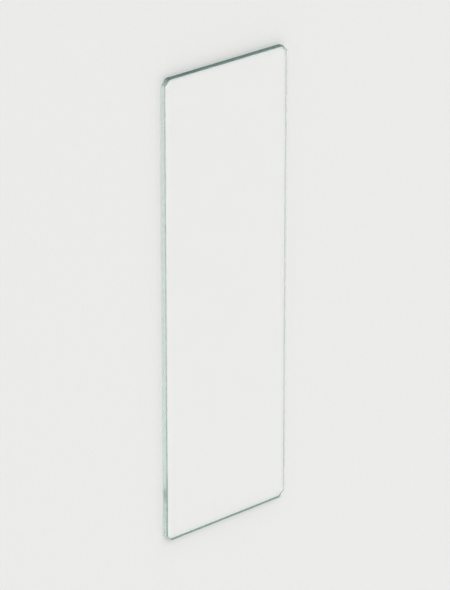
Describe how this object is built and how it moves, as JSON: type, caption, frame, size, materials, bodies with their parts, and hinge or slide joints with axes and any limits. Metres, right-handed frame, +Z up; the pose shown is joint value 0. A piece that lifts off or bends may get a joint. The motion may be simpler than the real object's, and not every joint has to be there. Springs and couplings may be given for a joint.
{
  "type": "microscope slide",
  "caption": "Plain clear glass microscope slide: a thin flat plate that carries a specimen under the objective, with ground edges and slanted corner cuts.",
  "frame": {"origin": "middle of the lower broad face, on the surface that the slide lies on", "axes": "+X along the length, +Y across the width, +Z up through the thickness, out of the upper broad face"},
  "size_m": [0.075, 0.025, 0.001],
  "materials": {
    "clear_glass": "polished broad faces, finely ground satin edges, pale green through the width and deep green through the length"
  },
  "bodies": {
    "root": {"glass_slide": "clear_glass"}
  },
  "joints": []
}
